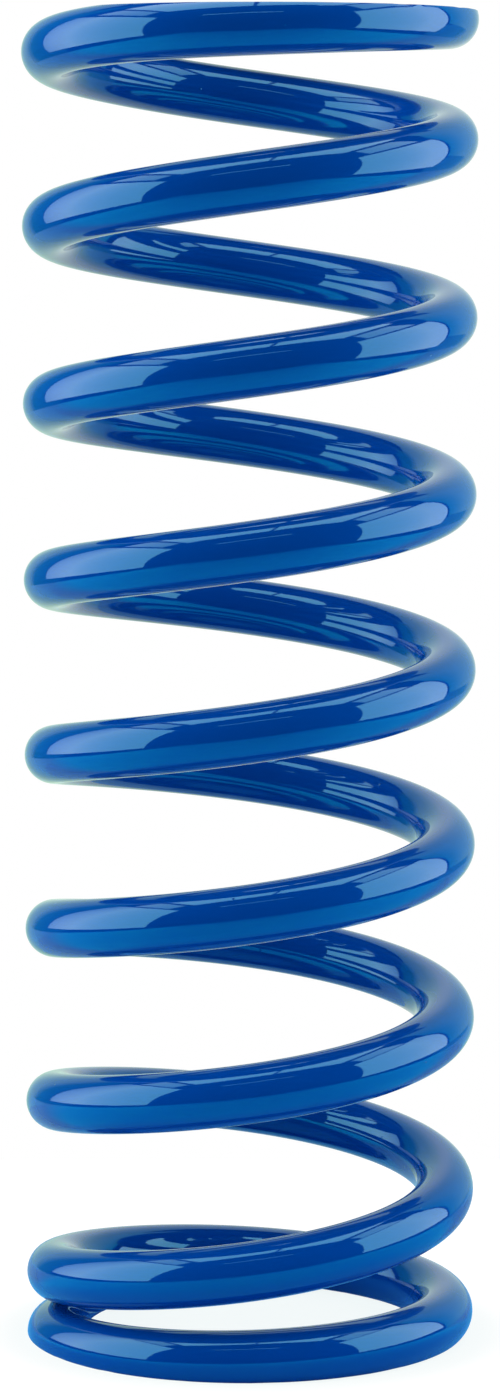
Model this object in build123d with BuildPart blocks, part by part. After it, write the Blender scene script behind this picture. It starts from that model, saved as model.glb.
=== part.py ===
"""Shock spring: one round steel wire wound into a coil, with both ends closed and ground flat.

Millimetres, +Z up. The origin is the centre of the lower ground face, on the coil's axis.
The wire climbs counterclockwise seen from above, so the coil is right-handed.
"""
import os
from math import cos, pi, sin

from build123d import *

# Wire and coil. The inside slips over a 63.5 mm spring seat.
inner_diameter = 64.3
wire_diameter = 11.1
free_length = 254.0
total_turns = 9.08
lower_tip_turn = 0.35

# What grinding leaves of the wire's thickness at each tip.
tip_thickness = 2.2

# The lower end, in turns from its tip: the wire runs in from the tip to a nearly flat stretch,
# then leads out to the full pitch. The gap is the one between the tip and the turn above it.
lower_tip_reach = 0.57
lower_flat_reach = 0.08
lower_lead_reach = 0.57
lower_flat_pitch = 1.0
lower_tip_gap = 0.3

# The upper end, in turns from its own tip. Its lead is shorter and its flat stretch steeper.
upper_tip_reach = 0.56
upper_flat_reach = 0.15
upper_lead_reach = 0.38
upper_flat_pitch = 9.5
upper_tip_gap = 1.9

# The path of the wire is drawn through this many points in each turn.
points_per_turn = 24

wire_radius = wire_diameter / 2
coil_radius = inner_diameter / 2 + wire_radius
tip_depth = wire_radius - tip_thickness


def end_stations(tip_reach, flat_reach, lead_reach, flat_pitch, tip_gap, active_pitch):
    """Turns from the tip, with the pitch at which the next turn clears the tip by its gap."""
    lead_start = tip_reach + flat_reach
    overlap = 1 - lead_start
    overlap_pitch = flat_pitch + (active_pitch - flat_pitch) * overlap / lead_reach
    overlap_rise = (flat_pitch + overlap_pitch) / 2 * overlap
    tip_rise = wire_diameter + tip_gap - flat_pitch * flat_reach - overlap_rise
    tip_pitch = 2 * tip_rise / tip_reach - flat_pitch
    return [(0, tip_pitch), (tip_reach, flat_pitch), (lead_start, flat_pitch),
            (lead_start + lead_reach, active_pitch)]


def wire_stations(active_pitch):
    """Turns from the lower tip, with the pitch there, all the way to the upper tip."""
    lower = end_stations(lower_tip_reach, lower_flat_reach, lower_lead_reach,
                         lower_flat_pitch, lower_tip_gap, active_pitch)
    upper = end_stations(upper_tip_reach, upper_flat_reach, upper_lead_reach,
                         upper_flat_pitch, upper_tip_gap, active_pitch)
    return lower + [(total_turns - turn, pitch) for turn, pitch in reversed(upper)]


def rise(stations, turn):
    """Height gained since the lower tip. The pitch changes evenly from station to station."""
    gained = 0
    for (start, start_pitch), (end, end_pitch) in zip(stations, stations[1:]):
        run = min(turn, end) - start
        if run > 0:
            pitch_there = start_pitch + (end_pitch - start_pitch) * run / (end - start)
            gained += (start_pitch + pitch_there) / 2 * run
    return gained


# The rise from tip to tip grows evenly with the active pitch, so two trials give the pitch
# at which the two ground faces lie one free length apart.
rise_at_none = rise(wire_stations(0), total_turns)
rise_per_pitch = rise(wire_stations(1), total_turns) - rise_at_none
active_pitch = (free_length + 2 * tip_depth - rise_at_none) / rise_per_pitch
stations = wire_stations(active_pitch)


def wire_point(turn):
    """Where the centre of the wire is, this many turns from the lower tip."""
    angle = 2 * pi * (lower_tip_turn + turn)
    return (coil_radius * cos(angle), coil_radius * sin(angle), rise(stations, turn) - tip_depth)


def wire_direction(turn, pitch):
    """Which way the wire runs there."""
    angle = 2 * pi * (lower_tip_turn + turn)
    return (-coil_radius * sin(angle), coil_radius * cos(angle), pitch / (2 * pi))


# The coil: a round wire along its path, then ground flat below and above.
steps = round(total_turns * points_per_turn)
path_points = [wire_point(total_turns * step / steps) for step in range(steps + 1)]
end_directions = [wire_direction(*stations[0]), wire_direction(*stations[-1])]

with BuildPart() as coil_spring:
    with BuildLine() as wire_path:
        Spline(*path_points, tangents=end_directions, tangent_scalars=[1, 1])
    with BuildSketch(wire_path.line ^ 0):
        Circle(wire_radius)
    sweep(is_frenet=True)
    split(bisect_by=Plane.XY, keep=Keep.TOP)
    split(bisect_by=Plane.XY.offset(free_length), keep=Keep.BOTTOM)

coil_spring.part.label = "coil_spring"
os.makedirs("parts", exist_ok=True)
export_step(coil_spring.part, "parts/coil_spring.step")
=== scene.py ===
from math import cos, pi, radians, sin

import bpy
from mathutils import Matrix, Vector


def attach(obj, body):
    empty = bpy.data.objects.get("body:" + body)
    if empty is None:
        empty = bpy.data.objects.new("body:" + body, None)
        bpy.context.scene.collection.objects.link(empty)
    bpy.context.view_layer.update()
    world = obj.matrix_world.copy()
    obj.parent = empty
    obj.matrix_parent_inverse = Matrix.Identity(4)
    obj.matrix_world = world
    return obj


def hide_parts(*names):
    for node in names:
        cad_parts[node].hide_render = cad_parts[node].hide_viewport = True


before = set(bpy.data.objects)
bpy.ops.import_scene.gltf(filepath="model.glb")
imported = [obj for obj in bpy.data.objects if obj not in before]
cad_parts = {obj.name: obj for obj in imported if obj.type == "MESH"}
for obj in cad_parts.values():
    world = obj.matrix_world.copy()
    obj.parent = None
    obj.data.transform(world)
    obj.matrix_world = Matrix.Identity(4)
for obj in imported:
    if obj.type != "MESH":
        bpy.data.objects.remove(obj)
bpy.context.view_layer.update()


# The coil: one round spring steel wire, wound into a right-handed coil, with the last turn at
# each end closed up against its neighbour. Lengths are in metres, and a pitch is the wire's
# rise in one turn.
WIRE_DIAMETER = 0.0111
WIRE_RADIUS = WIRE_DIAMETER / 2
INNER_DIAMETER = 0.0643
COIL_RADIUS = INNER_DIAMETER / 2 + WIRE_RADIUS
FREE_LENGTH = 0.254
TOTAL_TURNS = 9.08
LOWER_TIP_TURN = 0.35
# Grinding leaves this much of the wire's thickness at each tip.
TIP_THICKNESS = 0.0022
TIP_DEPTH = WIRE_RADIUS - TIP_THICKNESS
# The lower end, in turns from its tip: the wire runs in from the tip to a nearly flat stretch,
# then leads out to the full pitch. The gap is the one between the tip and the turn above it.
LOWER_TIP_REACH = 0.57
LOWER_FLAT_REACH = 0.08
LOWER_LEAD_REACH = 0.57
LOWER_FLAT_PITCH = 0.001
LOWER_TIP_GAP = 0.0003
# The upper end, in turns from its own tip. Its lead is shorter and its flat stretch steeper.
UPPER_TIP_REACH = 0.56
UPPER_FLAT_REACH = 0.15
UPPER_LEAD_REACH = 0.38
UPPER_FLAT_PITCH = 0.0095
UPPER_TIP_GAP = 0.0019
# How finely the wire is drawn along its centre line and around its section.
POINTS_PER_TURN = 24
STEPS_BETWEEN_POINTS = 5
SECTION_SIDES = 48


def end_stations(tip_reach, flat_reach, lead_reach, flat_pitch, tip_gap, active_pitch):
    """Turns from the tip, with the pitch at which the next turn clears the tip by its gap."""
    lead_start = tip_reach + flat_reach
    overlap = 1 - lead_start
    overlap_pitch = flat_pitch + (active_pitch - flat_pitch) * overlap / lead_reach
    overlap_rise = (flat_pitch + overlap_pitch) / 2 * overlap
    tip_rise = WIRE_DIAMETER + tip_gap - flat_pitch * flat_reach - overlap_rise
    tip_pitch = 2 * tip_rise / tip_reach - flat_pitch
    return [(0, tip_pitch), (tip_reach, flat_pitch), (lead_start, flat_pitch),
            (lead_start + lead_reach, active_pitch)]


def wire_stations(active_pitch):
    """Turns from the lower tip, with the pitch there. It changes evenly in between."""
    lower = end_stations(LOWER_TIP_REACH, LOWER_FLAT_REACH, LOWER_LEAD_REACH,
                         LOWER_FLAT_PITCH, LOWER_TIP_GAP, active_pitch)
    upper = end_stations(UPPER_TIP_REACH, UPPER_FLAT_REACH, UPPER_LEAD_REACH,
                         UPPER_FLAT_PITCH, UPPER_TIP_GAP, active_pitch)
    return lower + [(TOTAL_TURNS - turn, pitch) for turn, pitch in reversed(upper)]


def rise(stations, turn):
    """Height gained since the lower tip."""
    gained = 0.0
    for (start, start_pitch), (end, end_pitch) in zip(stations, stations[1:]):
        run = min(turn, end) - start
        if run > 0:
            pitch_there = start_pitch + (end_pitch - start_pitch) * run / (end - start)
            gained += (start_pitch + pitch_there) / 2 * run
    return gained


# The rise from tip to tip grows evenly with the active pitch, so two trials give the pitch at
# which the two ground faces lie one free length apart.
rise_at_none = rise(wire_stations(0), TOTAL_TURNS)
rise_per_pitch = rise(wire_stations(1), TOTAL_TURNS) - rise_at_none
active_pitch = (FREE_LENGTH + 2 * TIP_DEPTH - rise_at_none) / rise_per_pitch
stations = wire_stations(active_pitch)


def wire_pitch(turn):
    """The pitch at this many turns from the lower tip."""
    for (start, start_pitch), (end, end_pitch) in zip(stations, stations[1:]):
        if turn <= end:
            return start_pitch + (end_pitch - start_pitch) * (turn - start) / (end - start)
    return stations[-1][1]


def wire_point(turn):
    """Where the wire's centre is there."""
    angle = 2 * pi * (LOWER_TIP_TURN + turn)
    height = rise(stations, turn) - TIP_DEPTH
    return Vector((COIL_RADIUS * cos(angle), COIL_RADIUS * sin(angle), height))


def wire_run(turn):
    """How far and which way the wire's centre goes in one whole turn, at its speed there."""
    angle = 2 * pi * (LOWER_TIP_TURN + turn)
    round_the_axis = 2 * pi * COIL_RADIUS
    return Vector((-round_the_axis * sin(angle), round_the_axis * cos(angle), wire_pitch(turn)))


bpy.ops.object.select_all(action="DESELECT")
bpy.ops.curve.primitive_bezier_curve_add()
coil = bpy.context.object
coil.name = "coil_wire"
coil.data.name = "coil_wire"
coil.data.dimensions = "3D"
coil.data.twist_mode = "Z_UP"
coil.data.resolution_u = STEPS_BETWEEN_POINTS
coil.data.bevel_mode = "ROUND"
coil.data.bevel_depth = WIRE_RADIUS
# A round section has four sides, and two more for each step of its resolution.
coil.data.bevel_resolution = (SECTION_SIDES - 4) // 2
coil.data.use_fill_caps = True
points = round(TOTAL_TURNS * POINTS_PER_TURN) + 1
turn_step = TOTAL_TURNS / (points - 1)
path = coil.data.splines[0]
path.bezier_points.add(points - 2)
for index, point in enumerate(path.bezier_points):
    turn = index * turn_step
    # A handle is a third of the way that the wire goes from this point to the next.
    handle = wire_run(turn) * (turn_step / 3)
    point.handle_left_type = "FREE"
    point.handle_right_type = "FREE"
    point.co = wire_point(turn)
    point.handle_left = wire_point(turn) - handle
    point.handle_right = wire_point(turn) + handle
bpy.ops.object.convert(target="MESH")

# Both ends are ground flat and square to the axis, through the wire's lower side at one end and
# its upper side at the other. Points this close together are merged: first those where the caps
# meet the wire, then the slivers that the cuts leave.
CAP_MERGE = 0.000001
CUT_MERGE = 0.00002
bpy.ops.object.mode_set(mode="EDIT")
bpy.ops.mesh.select_all(action="SELECT")
bpy.ops.mesh.remove_doubles(threshold=CAP_MERGE)
bpy.ops.mesh.bisect(plane_co=(0, 0, 0), plane_no=(0, 0, 1), use_fill=True, clear_inner=True)
bpy.ops.mesh.select_all(action="SELECT")
bpy.ops.mesh.bisect(plane_co=(0, 0, FREE_LENGTH), plane_no=(0, 0, 1), use_fill=True, clear_outer=True)
bpy.ops.mesh.select_all(action="SELECT")
bpy.ops.mesh.remove_doubles(threshold=CUT_MERGE)
bpy.ops.mesh.normals_make_consistent(inside=False)
bpy.ops.mesh.select_all(action="DESELECT")
bpy.ops.object.mode_set(mode="OBJECT")

# The burr is brushed off, and the paint draws back a little from the edges. What the rounding
# pushes past the ground planes is brought back to them.
EDGE_ROUNDING = 0.0005
EDGE_SEGMENTS = 3
EDGE_ANGLE = radians(28)
rounding = coil.modifiers.new("edge rounding", "BEVEL")
rounding.width = EDGE_ROUNDING
rounding.segments = EDGE_SEGMENTS
rounding.limit_method = "ANGLE"
rounding.angle_limit = EDGE_ANGLE
rounding.use_clamp_overlap = True
bpy.ops.object.modifier_apply(modifier=rounding.name)
for vertex in coil.data.vertices:
    vertex.co.z = min(max(vertex.co.z, 0), FREE_LENGTH)
bpy.ops.object.shade_smooth_by_angle(angle=EDGE_ANGLE)

# The ground faces point straight down or up and lie in the ground planes. They take the second
# material and are shaded flat.
GROUND_FACE_UPRIGHT = 0.999
GROUND_FACE_NEAR = 0.0001
for face in coil.data.polygons:
    on_lower = face.normal.z < -GROUND_FACE_UPRIGHT and face.center.z < GROUND_FACE_NEAR
    on_upper = face.normal.z > GROUND_FACE_UPRIGHT and face.center.z > FREE_LENGTH - GROUND_FACE_NEAR
    if on_lower or on_upper:
        face.material_index = 1
        face.use_smooth = False


def linear(hex_colour):
    """A colour written in sRGB hex, as the linear values that a shader takes."""
    parts = [int(hex_colour[i:i + 2], 16) / 255 for i in (1, 3, 5)]
    return [c / 12.92 if c <= 0.04045 else ((c + 0.055) / 1.055) ** 2.4 for c in parts] + [1.0]


def add_node(tree, kind, settings=None, links=None):
    """Adds one node. settings are its properties; links are its inputs, each a value or an output.

    A colour Mix takes its share and two colours at 0, 6 and 7 and gives its result at 2. A
    number Mix takes its share and two numbers at 0, 2 and 3 and gives its result at 0.
    """
    node = tree.nodes.new("ShaderNode" + kind)
    for name, value in (settings or {}).items():
        setattr(node, name, value)
    for socket, value in (links or {}).items():
        if isinstance(value, bpy.types.NodeSocket):
            tree.links.new(value, node.inputs[socket])
        else:
            node.inputs[socket].default_value = value
    return node


def new_material(name):
    """A material with no nodes yet, and its node tree."""
    material = bpy.data.materials.new(name)
    material.use_nodes = True
    material.node_tree.nodes.clear()
    return material, material.node_tree


# Gloss blue powder coat, sprayed as a dry powder and melted to one deep, even skin. It gives the
# eye a dark blue with mirror-sharp lights in it, whose edges waver where the skin is slightly
# orange-peeled. The inner side of the turns is painted a little darker, as painted shade, and a few
# dust nibs are melted into the skin.
POWDER_BLUE = "#003d96"
POWDER_BLUE_THIN = "#00388b"
POWDER_BLUE_INNER_SHADE = "#003a91"
GLOSS_ROUGHNESS = 0.03
GLOSS_ROUGHNESS_THIN = 0.055
GLOSS_IOR = 1.5
GLOSS_LEVEL = 0.78
GLOSS_TINT = (0.18, 0.70, 0.96, 1.0)
CLOUD_SIZE = 0.030
PEEL_SIZE = 0.0024
PEEL_HEIGHT = 0.000006
NIB_SPACING = 0.008
NIB_RADIUS = 0.00035
NIB_HEIGHT = 0.00008
paint, tree = new_material("gloss_blue_powder_coat")
place = add_node(tree, "TexCoord").outputs["Object"]
cloud = add_node(tree, "TexNoise", links={
    "Vector": place, "Scale": 1 / CLOUD_SIZE, "Detail": 3.0, "Roughness": 0.5}).outputs[0]
cloudy = add_node(tree, "Mix", {"data_type": "RGBA"}, {
    0: cloud, 6: linear(POWDER_BLUE_THIN), 7: linear(POWDER_BLUE)}).outputs[2]
flat = add_node(tree, "VectorMath", {"operation": "MULTIPLY"}, {0: place, 1: (1, 1, 0)}).outputs[0]
from_axis = add_node(tree, "VectorMath", {"operation": "LENGTH"}, {0: flat}).outputs["Value"]
# The inner side of the turns, facing the axis, takes a darker blue: painted shade.
inner_shade = add_node(tree, "MapRange", {"interpolation_type": "SMOOTHSTEP"}, {
    "Value": from_axis, "From Min": COIL_RADIUS, "From Max": COIL_RADIUS - WIRE_RADIUS}).outputs[0]
colour = add_node(tree, "Mix", {"data_type": "RGBA"}, {
    0: inner_shade, 6: cloudy, 7: linear(POWDER_BLUE_INNER_SHADE)}).outputs[2]
gloss = add_node(tree, "MapRange", links={
    "Value": cloud, "To Min": GLOSS_ROUGHNESS_THIN, "To Max": GLOSS_ROUGHNESS}).outputs[0]
peel = add_node(tree, "TexNoise", links={
    "Vector": place, "Scale": 1 / PEEL_SIZE, "Detail": 1.0, "Roughness": 0.4}).outputs[0]
skin = add_node(tree, "Bump", links={
    "Strength": 1.0, "Distance": PEEL_HEIGHT, "Height": peel}).outputs[0]
nib_distance = add_node(tree, "TexVoronoi", links={
    "Vector": place, "Scale": 1 / NIB_SPACING}).outputs["Distance"]
nib = add_node(tree, "MapRange", {"interpolation_type": "SMOOTHSTEP"}, {
    "Value": nib_distance, "From Min": NIB_RADIUS / NIB_SPACING, "From Max": 0.0}).outputs[0]
nibbed = add_node(tree, "Bump", links={
    "Strength": 1.0, "Distance": NIB_HEIGHT, "Height": nib, "Normal": skin}).outputs[0]
shader = add_node(tree, "BsdfPrincipled", links={
    "Base Color": colour, "Roughness": gloss, "IOR": GLOSS_IOR, "Specular IOR Level": GLOSS_LEVEL,
    "Specular Tint": GLOSS_TINT, "Normal": nibbed})
add_node(tree, "OutputMaterial", links={"Surface": shader.outputs[0]})

# The same coat over the ground flats. The wheel leaves shallow arcs in the steel, some tenths of
# a millimetre apart. The coat softens them without hiding them and lies thinner and paler on
# their crests, so the flats look satin and faintly lined. The arcs are drawn about eight times
# as coarse here, so that they show, and come and go in patches.
GROOVE_BLUE = "#00388d"
CREST_BLUE = "#0b49a1"
GROOVE_ROUGHNESS = 0.42
CREST_ROUGHNESS = 0.56
GRINDING_LINE_SPACING = 0.0026
GRINDING_LINE_DEPTH = 0.00003
GRINDING_PATCH_SIZE = 0.009
PATCH_START = 0.3
PATCH_FULL = 0.65
WHEEL_CENTRE = (0.19, -0.06, 0)
ground, tree = new_material("powder_coat_over_ground_steel")
place = add_node(tree, "TexCoord").outputs["Object"]
from_wheel = add_node(tree, "Mapping", links={
    "Vector": place, "Location": [-c for c in WHEEL_CENTRE]}).outputs[0]
# The bands of a wave texture lie pi / (10 * scale) apart.
arcs = add_node(tree, "TexWave", {"wave_type": "RINGS", "rings_direction": "Z"}, {
    "Vector": from_wheel, "Scale": pi / (10 * GRINDING_LINE_SPACING),
    "Distortion": 4.5, "Detail": 3.0, "Detail Scale": 0.4}).outputs["Fac"]
patches = add_node(tree, "TexNoise", links={
    "Vector": place, "Scale": 1 / GRINDING_PATCH_SIZE, "Detail": 2.0}).outputs[0]
patchy = add_node(tree, "MapRange", links={
    "Value": patches, "From Min": PATCH_START, "From Max": PATCH_FULL}).outputs[0]
crest = add_node(tree, "Math", {"operation": "MULTIPLY"}, {0: arcs, 1: patchy}).outputs[0]
colour = add_node(tree, "Mix", {"data_type": "RGBA"}, {
    0: crest, 6: linear(GROOVE_BLUE), 7: linear(CREST_BLUE)}).outputs[2]
satin = add_node(tree, "MapRange", links={
    "Value": crest, "To Min": GROOVE_ROUGHNESS, "To Max": CREST_ROUGHNESS}).outputs[0]
flat_skin = add_node(tree, "Bump", links={
    "Strength": 1.0, "Distance": GRINDING_LINE_DEPTH, "Height": crest}).outputs[0]
shader = add_node(tree, "BsdfPrincipled", links={
    "Base Color": colour, "Roughness": satin, "IOR": GLOSS_IOR, "Specular IOR Level": GLOSS_LEVEL,
    "Specular Tint": GLOSS_TINT, "Normal": flat_skin})
add_node(tree, "OutputMaterial", links={"Surface": shader.outputs[0]})

coil.data.materials.append(paint)
coil.data.materials.append(ground)
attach(coil, "root")
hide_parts("coil_spring")


# The table: a cool white sheet, which shows white before the lens, keeps the spring's soft
# shadow, partly cast and partly painted round its foot, and ends a little way out on every side.
# It lies a hair below the spring, because two faces in one plane show torn.
SHEET_SIDE = 0.39
SHEET_FRONT = -0.60
SHEET_BACK = 0.16
SHEET_DROP = 0.0001


def background_rays(tree):
    """1 for what the lens sees straight, mirrored or through glass, 0 for light on matt things."""
    rays = add_node(tree, "LightPath")
    seen = add_node(tree, "Math", {"operation": "MAXIMUM"}, {
        0: rays.outputs["Is Camera Ray"], 1: rays.outputs["Is Glossy Ray"]})
    return add_node(tree, "Math", {"operation": "MAXIMUM"}, {
        0: seen.outputs[0], 1: rays.outputs["Is Transmission Ray"]}).outputs[0]


def stage_panel(name, low, high, material):
    """A flat panel from one corner to the other; one of the three sizes between them is nothing."""
    size = [high[axis] - low[axis] for axis in range(3)]
    middle = [(high[axis] + low[axis]) / 2 for axis in range(3)]
    if size[2] == 0:
        turn, across, up = (0, 0, 0), size[0], size[1]
    elif size[1] == 0:
        turn, across, up = (pi / 2, 0, 0), size[0], size[2]
    else:
        turn, across, up = (0, pi / 2, 0), size[2], size[1]
    bpy.ops.mesh.primitive_plane_add(size=1, location=middle, rotation=turn)
    panel = bpy.context.object
    panel.name = name
    panel.scale = (across, up, 1)
    bpy.ops.object.transform_apply(location=True, rotation=True, scale=True)
    panel.data.materials.append(material)
    return panel


def gloss_only(obj):
    """The object lights nothing and hides nothing: only mirror reflections show it."""
    obj.visible_camera = False
    obj.visible_diffuse = False
    obj.visible_shadow = False


# What the lens sees straight is a glow, off-white near the spring as a painted shadow round its
# foot and plain white further out, on a dim matt surface that takes the cast shadow.
PLAIN_WHITE = "#ffffff"
PAINTED_SHADOW_SEEN = "#ecf4f4"
SHEET_SEEN_MATT = "#594b4b"
SHADE_START = 0.043
SHADE_END = 0.060
# The mirrored sheet: its matt tone at the sides, tones painted a little darker in front of the
# spring, duller behind it and darker still close to its foot, all painted shade, and a cool painted
# glow in all four, which is weaker behind and at the foot.
SHEET_IN_GLOSS = "#45ede9"
SHEET_IN_GLOSS_PAINTED_SHADE_IN_FRONT = "#41dae2"
SHEET_IN_GLOSS_PAINTED_SHADE_BEHIND = "#7ca6aa"
SHEET_IN_GLOSS_PAINTED_SHADE_AT_FOOT = "#5abde2"
GLOW_IN_GLOSS = "#0061ff"
GLOW_LEVEL = 0.66
WEAK_GLOW_LEVEL = GLOW_LEVEL / 3
FOOT_START = 0.08
FOOT_END = 0.045
# Bearings are in degrees out from straight back, as they lie from the left and right ends of the
# coil. Before an end they are taken from the least distance past it.
BEHIND_START = 84
BEHIND_END = 48
IN_FRONT_START = 125
IN_FRONT_END = 165
COIL_END = 0.038
LEAST_PAST_END = 0.012
sheet, tree = new_material("cool_white_table_sheet")
place = add_node(tree, "TexCoord").outputs["Object"]
spot = add_node(tree, "SeparateXYZ", links={0: place})
from_axis = add_node(tree, "VectorMath", {"operation": "LENGTH"}, {0: place}).outputs["Value"]
# Close to the spring the straight view is painted off-white: a painted shadow round its foot.
beyond_painted_shadow = add_node(tree, "MapRange", {"interpolation_type": "SMOOTHSTEP"}, {
    "Value": from_axis, "From Min": SHADE_START, "From Max": SHADE_END}).outputs[0]
seen_tone_with_painted_shadow = add_node(tree, "Mix", {"data_type": "RGBA"}, {
    0: beyond_painted_shadow, 6: linear(PAINTED_SHADOW_SEEN), 7: linear(PLAIN_WHITE)}).outputs[2]
aside = add_node(tree, "Math", {"operation": "ABSOLUTE"}, {0: spot.outputs["X"]}).outputs[0]
past_end = add_node(tree, "Math", {"operation": "SUBTRACT"}, {0: aside, 1: COIL_END}).outputs[0]
past_end = add_node(tree, "Math", {"operation": "MAXIMUM"}, {
    0: past_end, 1: LEAST_PAST_END}).outputs[0]
bearing = add_node(tree, "Math", {"operation": "ARCTAN2"}, {
    0: past_end, 1: spot.outputs["Y"]}).outputs[0]
# Behind the spring the mirrored sheet is painted duller, and in front of it a little darker: painted shade.
painted_shade_behind = add_node(tree, "MapRange", {"interpolation_type": "SMOOTHSTEP"}, {
    "Value": bearing, "From Min": radians(BEHIND_START), "From Max": radians(BEHIND_END)}).outputs[0]
painted_shade_in_front = add_node(tree, "MapRange", {"interpolation_type": "SMOOTHSTEP"}, {
    "Value": bearing, "From Min": radians(IN_FRONT_START), "From Max": radians(IN_FRONT_END)}).outputs[0]
# Close to the spring's foot it is painted darker still: painted shade.
painted_shade_at_foot = add_node(tree, "MapRange", {"interpolation_type": "SMOOTHSTEP"}, {
    "Value": from_axis, "From Min": FOOT_START, "From Max": FOOT_END}).outputs[0]
mirrored = add_node(tree, "Mix", {"data_type": "RGBA"}, {
    0: painted_shade_in_front, 6: linear(SHEET_IN_GLOSS), 7: linear(SHEET_IN_GLOSS_PAINTED_SHADE_IN_FRONT)}).outputs[2]
mirrored = add_node(tree, "Mix", {"data_type": "RGBA"}, {
    0: painted_shade_behind, 6: mirrored, 7: linear(SHEET_IN_GLOSS_PAINTED_SHADE_BEHIND)}).outputs[2]
mirrored = add_node(tree, "Mix", {"data_type": "RGBA"}, {
    0: painted_shade_at_foot, 6: mirrored, 7: linear(SHEET_IN_GLOSS_PAINTED_SHADE_AT_FOOT)}).outputs[2]
# Behind the spring and at its foot the painted glow is weaker: painted shade.
painted_shade_share = add_node(tree, "Math", {"operation": "MAXIMUM"}, {0: painted_shade_behind, 1: painted_shade_at_foot}).outputs[0]
mirrored_level = add_node(tree, "MapRange", links={
    "Value": painted_shade_share, "To Min": GLOW_LEVEL, "To Max": WEAK_GLOW_LEVEL}).outputs[0]
seen_straight = add_node(tree, "LightPath").outputs["Is Camera Ray"]
tone = add_node(tree, "Mix", {"data_type": "RGBA"}, {
    0: seen_straight, 6: linear(GLOW_IN_GLOSS), 7: seen_tone_with_painted_shadow}).outputs[2]
level = add_node(tree, "Mix", links={0: seen_straight, 2: mirrored_level, 3: 1.0}).outputs[0]
top_up = add_node(tree, "Math", {"operation": "MULTIPLY"}, {
    0: background_rays(tree), 1: level}).outputs[0]
# Light falling on matt things meets the mirrored tones with their painted shade.
matt_tone = add_node(tree, "Mix", {"data_type": "RGBA"}, {
    0: seen_straight, 6: mirrored, 7: linear(SHEET_SEEN_MATT)}).outputs[2]
matt = add_node(tree, "BsdfDiffuse", links={"Color": matt_tone}).outputs[0]
glow = add_node(tree, "Emission", links={"Color": tone, "Strength": top_up}).outputs[0]
both = add_node(tree, "AddShader", links={0: matt, 1: glow}).outputs[0]
# The sheet has no underside, so that the spring can be looked at from below.
underside = add_node(tree, "NewGeometry").outputs["Backfacing"]
nothing = add_node(tree, "BsdfTransparent").outputs[0]
one_sided = add_node(tree, "MixShader", links={0: underside, 1: both, 2: nothing}).outputs[0]
add_node(tree, "OutputMaterial", links={"Surface": one_sided})
stage_panel("table_top", (-SHEET_SIDE, SHEET_FRONT, -SHEET_DROP), (SHEET_SIDE, SHEET_BACK, -SHEET_DROP),
            sheet)


# The room, which only the gloss of the paint shows, its light painted into the glow of each piece: a
# backdrop, lit from white in the middle to sky blue at its right end and a dim sea green at its left,
# more of the sheet between it and the table, the floor beside that sheet, and a dark studio round it all.
BACKDROP_DISTANCE = 1.2
BACKDROP_LEFT = -0.94
BACKDROP_RIGHT = 0.85
BACKDROP_TOP = 1.5
WING_RIGHT_END = 2.2
WING_TOP = 2.3
FLOOR_SIDE = 1.65
FLOOR_HEIGHT = -0.005
STUDIO_SIZE = 4.5
STUDIO_MIDDLE = 1.2
STUDIO_DARK = "#14283c"
# Each tone goes with a bearing, in degrees to the right from straight behind the spring.
BACKDROP_TONES = (
    (-54, "#2c9a92"),
    (-40, "#36a096"),
    (-30, "#a6ddce"),
    (-20, "#afe0cd"),
    (-8, "#cff3dc"),
    (0, "#e7faee"),
    (8, "#e7faee"),
    (20, "#bfe9dc"),
    (30, "#b0e8de"),
    (45, "#a4f6f8"),
    (62, "#50eef8"),
)
SWEEP_TONES = (
    (-45, "#95e1fc"),
    (-35, "#98e0f4"),
    (-26, "#a6ddce"),
    (-8, "#cff3dc"),
    (0, "#e7faee"),
    (8, "#e7faee"),
    (20, "#bfe9dc"),
    (26, "#b0e8de"),
    (35, "#95e1ff"),
)
FLOOR_TONES = (
    (-40, "#2c9a92"),
    (-31, "#a6ddce"),
    (31, "#b0e8de"),
    (40, "#55bcd0"),
)
WIDEST_BEARING = 65


def tinted_by_bearing(name, bearing_tones):
    """A glowing material whose tone changes with the bearing from the spring."""
    material, tree = new_material(name)
    place = add_node(tree, "TexCoord").outputs["Object"]
    spot = add_node(tree, "SeparateXYZ", links={0: place})
    bearing = add_node(tree, "Math", {"operation": "ARCTAN2"}, {
        0: spot.outputs["X"], 1: spot.outputs["Y"]}).outputs[0]
    widest = radians(WIDEST_BEARING)
    along = add_node(tree, "MapRange", links={
        "Value": bearing, "From Min": -widest, "From Max": widest}).outputs[0]
    tones = add_node(tree, "ValToRGB", links={0: along})
    stops = tones.color_ramp.elements
    while len(stops) < len(bearing_tones):
        stops.new(1.0)
    for stop, (degrees, tone) in zip(stops, bearing_tones):
        stop.position = (degrees + WIDEST_BEARING) / (2 * WIDEST_BEARING)
        stop.color = linear(tone)
    glow = add_node(tree, "Emission", links={
        "Color": tones.outputs["Color"], "Strength": 1.0}).outputs[0]
    add_node(tree, "OutputMaterial", links={"Surface": glow})
    return material


def backdrop_panel(name, left, right, top):
    gloss_only(stage_panel(name, (left, BACKDROP_DISTANCE, FLOOR_HEIGHT), (right, BACKDROP_DISTANCE, top),
                           lit_backdrop))


def floor_panel(name, left, right, material):
    gloss_only(stage_panel(name, (left, SHEET_BACK, FLOOR_HEIGHT), (right, BACKDROP_DISTANCE, FLOOR_HEIGHT),
                           material))


# A painted wall under uneven light: it gives the gloss its broad pale lights.
lit_backdrop = tinted_by_bearing("unevenly_lit_backdrop", BACKDROP_TONES)
backdrop_panel("backdrop_middle", BACKDROP_LEFT, BACKDROP_RIGHT, BACKDROP_TOP)
backdrop_panel("backdrop_left", -FLOOR_SIDE, BACKDROP_LEFT, WING_TOP)
backdrop_panel("backdrop_right", BACKDROP_RIGHT, WING_RIGHT_END, WING_TOP)
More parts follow.
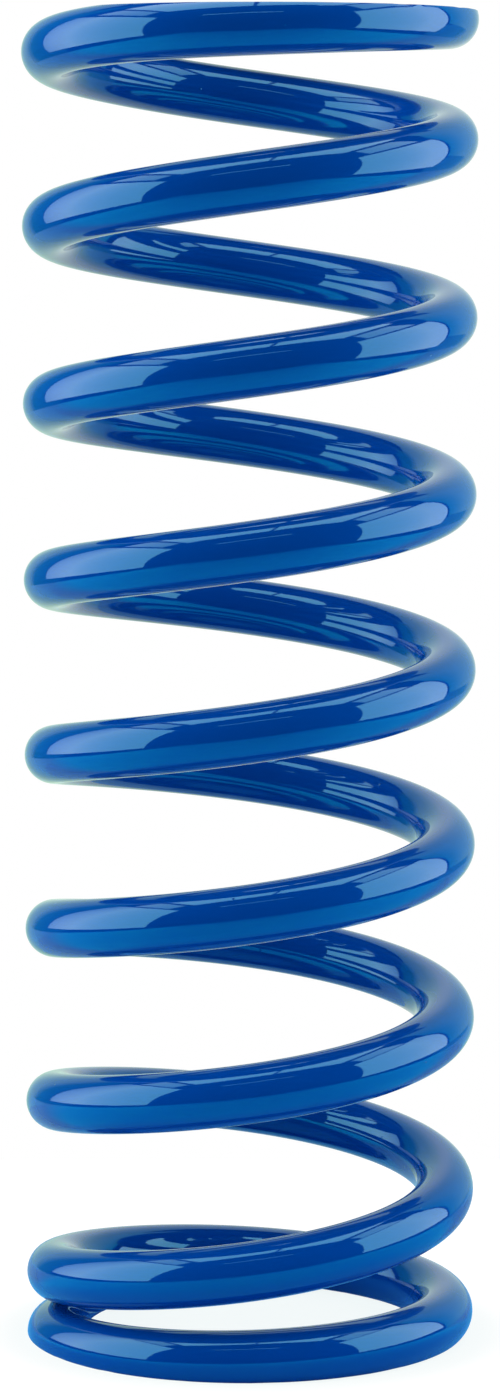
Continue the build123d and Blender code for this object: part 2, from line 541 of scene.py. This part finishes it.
# The sheet runs on to the backdrop and takes its tones of painted light: it gives the gloss a pale lower
# edge.
sweep = tinted_by_bearing("sheet_behind_the_table", SWEEP_TONES)
floor_panel("sheet_behind", -SHEET_SIDE, SHEET_SIDE, sweep)
# The floor beside it glows with duller painted light: it gives the gloss a sea green at the left
# and a blue at the right.
studio_floor = tinted_by_bearing("floor_beside_the_sheet", FLOOR_TONES)
floor_panel("floor_left", -FLOOR_SIDE, -SHEET_SIDE, studio_floor)
floor_panel("floor_right", SHEET_SIDE, FLOOR_SIDE, studio_floor)

# Dark walls, which leave the paint its own deep blue between the lights.
walls, tree = new_material("dark_studio_wall")
glow = add_node(tree, "Emission", links={"Color": linear(STUDIO_DARK), "Strength": 1.0}).outputs[0]
add_node(tree, "OutputMaterial", links={"Surface": glow})
bpy.ops.mesh.primitive_cube_add(size=STUDIO_SIZE, location=(0, 0, STUDIO_MIDDLE))
room = bpy.context.object
room.name = "dark_studio"
room.data.materials.append(walls)
gloss_only(room)


# The lamps: a softbox at each side and one overhead in two halves, joined by narrower lit cards,
# and a thin slit of light over the camera. All are glowing panels.
LAMP_WHITE = "#fffff6"
LAMP_REAR = "#c4e8fb"
# The softboxes fall off between these distances behind the spring's axis.
FALL_START = 0.07
FALL_END = 0.295


def lamp_panel(name, low, high, level, rear_level=None):
    """A glowing panel. Level 1 is white; towards the backdrop it falls and cools to rear_level."""
    material, tree = new_material(name)
    strength, tone = level, linear(LAMP_WHITE)
    if rear_level is not None:
        place = add_node(tree, "TexCoord").outputs["Object"]
        along = add_node(tree, "SeparateXYZ", links={0: place}).outputs["Y"]
        fall = {"Value": along, "From Min": FALL_START, "From Max": FALL_END}
        strength = add_node(tree, "MapRange", links={
            **fall, "To Min": level, "To Max": rear_level}).outputs[0]
        share = add_node(tree, "MapRange", links=fall).outputs[0]
        tone = add_node(tree, "Mix", {"data_type": "RGBA"}, {
            0: share, 6: linear(LAMP_WHITE), 7: linear(LAMP_REAR)}).outputs[2]
    glow = add_node(tree, "Emission", links={"Color": tone, "Strength": strength}).outputs[0]
    add_node(tree, "OutputMaterial", links={"Surface": glow})
    panel = stage_panel(name, low, high, material)
    panel.visible_camera = False


lamp_panel("left_softbox", (-0.473, -0.361, 0.041), (-0.473, 0.299, 0.646), level=4.0, rear_level=1.9)
lamp_panel("right_softbox", (0.46, -0.327, 0.041), (0.46, 0.197, 0.579), level=4.0, rear_level=2.9)
lamp_panel("left_upper_card", (-0.53, -0.23, 0.76), (-0.53, 0.22, 0.99), level=2.8)
lamp_panel("right_upper_card", (0.53, -0.26, 0.695), (0.53, 0.15, 1.03), level=3.0)
lamp_panel("overhead_left", (-0.52, -0.30, 1.05), (-0.01, 0.30, 1.05), level=4.1)
lamp_panel("overhead_right", (0.01, -0.30, 1.05), (0.47, 0.30, 1.05), level=4.1)
lamp_panel("front_slit", (-0.27, -0.515, 0.69), (0.157, -0.515, 0.715), level=4.0)

# The air: plain white to the lens and in the gloss, and a dim light on matt things.
AIR_LEVEL_SEEN = 1.0
AIR_LEVEL_ON_MATT = 0.16
world = bpy.data.worlds.new("white studio air")
bpy.context.scene.world = world
world.use_nodes = True
tree = world.node_tree
tree.nodes.clear()
level = add_node(tree, "MapRange", links={
    "Value": background_rays(tree), "To Min": AIR_LEVEL_ON_MATT, "To Max": AIR_LEVEL_SEEN}).outputs[0]
sky = add_node(tree, "Background", links={"Color": linear(PLAIN_WHITE), "Strength": level})
add_node(tree, "OutputWorld", links={"Surface": sky.outputs[0]})


# The camera stands in front, a little below the top of the spring, and looks slightly down. The
# lens is given for the picture's long side, in millimetres, and the dip in radians.
CAMERA_DISTANCE = 0.8872
CAMERA_HEIGHT = 0.2181
CAMERA_DIP = 0.10655
LENS = 119.65
SENSOR_LONG_SIDE = 36
view = bpy.data.cameras.new("camera")
view.lens = LENS
view.sensor_width = SENSOR_LONG_SIDE
camera = bpy.data.objects.new("camera", view)
bpy.context.scene.collection.objects.link(camera)
camera.location = (0, -CAMERA_DISTANCE, CAMERA_HEIGHT)
camera.rotation_euler = (pi / 2 - CAMERA_DIP, 0, 0)
bpy.context.scene.camera = camera
bpy.context.scene.view_settings.view_transform = "Standard"
